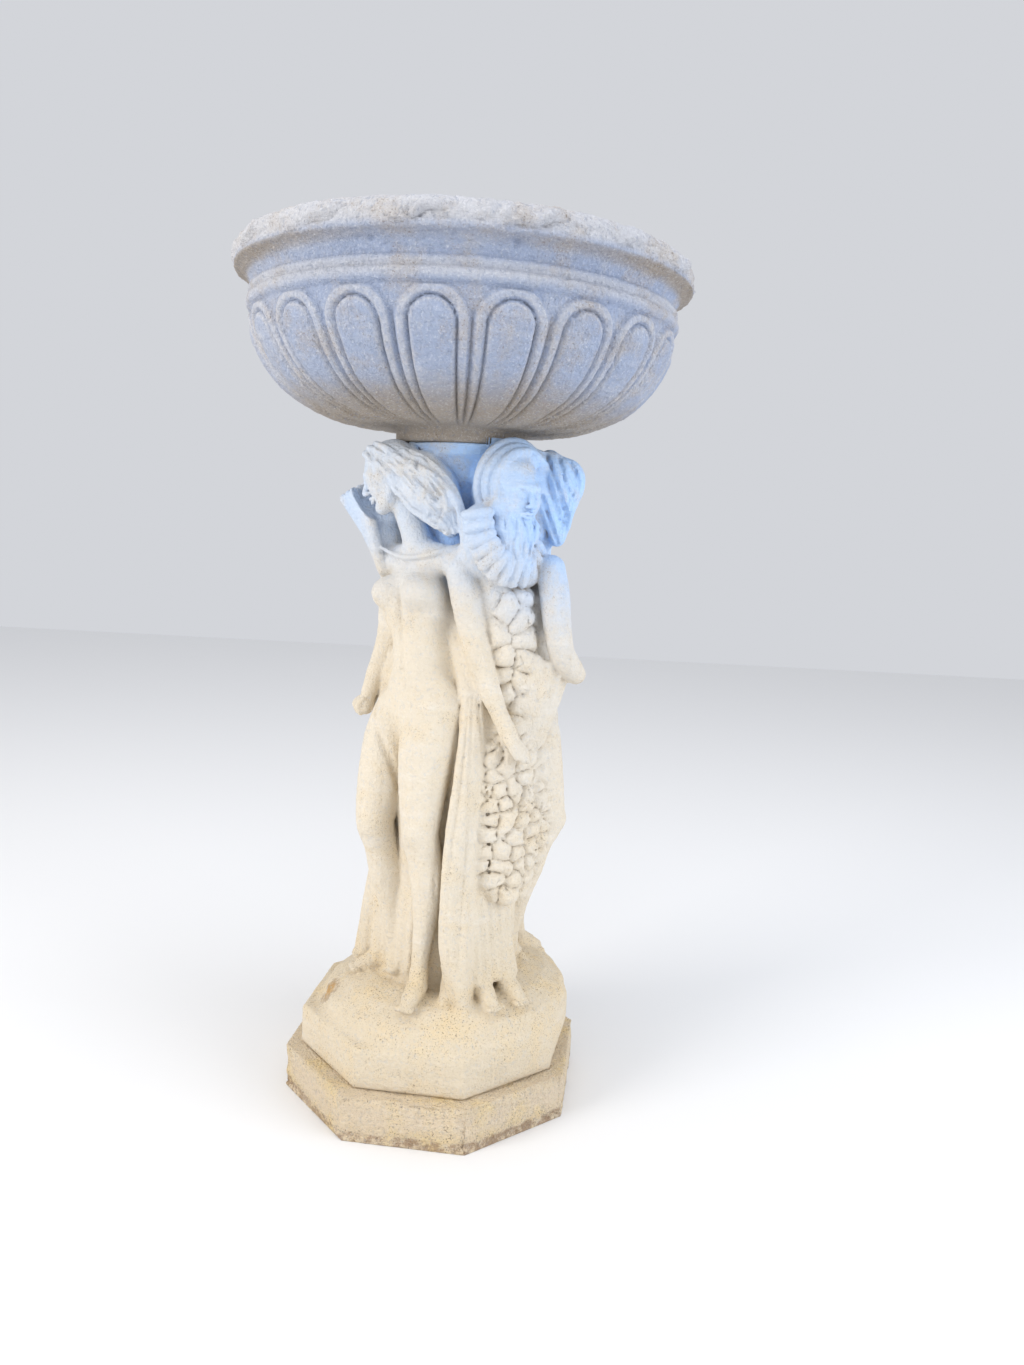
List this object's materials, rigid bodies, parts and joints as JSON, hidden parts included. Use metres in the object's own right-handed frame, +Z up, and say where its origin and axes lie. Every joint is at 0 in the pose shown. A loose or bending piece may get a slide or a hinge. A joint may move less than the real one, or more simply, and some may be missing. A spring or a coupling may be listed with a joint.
{
  "type": "garden planter on figural pedestal",
  "caption": "Cast concrete garden planter: a hollow gadrooned bowl on a pedestal of classical maidens and herms with garlands, on an octagonal plinth.",
  "frame": {"origin": "middle of the plinth's flat underside, on the ground", "axes": "+Z up along the bowl's axis; -Y towards the front, where the picture was taken from"},
  "size_m": [0.4696, 0.4683, 0.89],
  "materials": {
    "plinth": "cast concrete, cream masonry paint worn to yellow along the ledge, dirty eroded lower edge",
    "pedestal": "cast concrete under brushed cream masonry paint, pitted, dirt in the hollows",
    "bowl": "cast concrete under white masonry paint, pitted and rough along the rim"
  },
  "bodies": {
    "root": {"plinth": "plinth", "pedestal": "pedestal", "bowl": "bowl"}
  },
  "joints": []
}
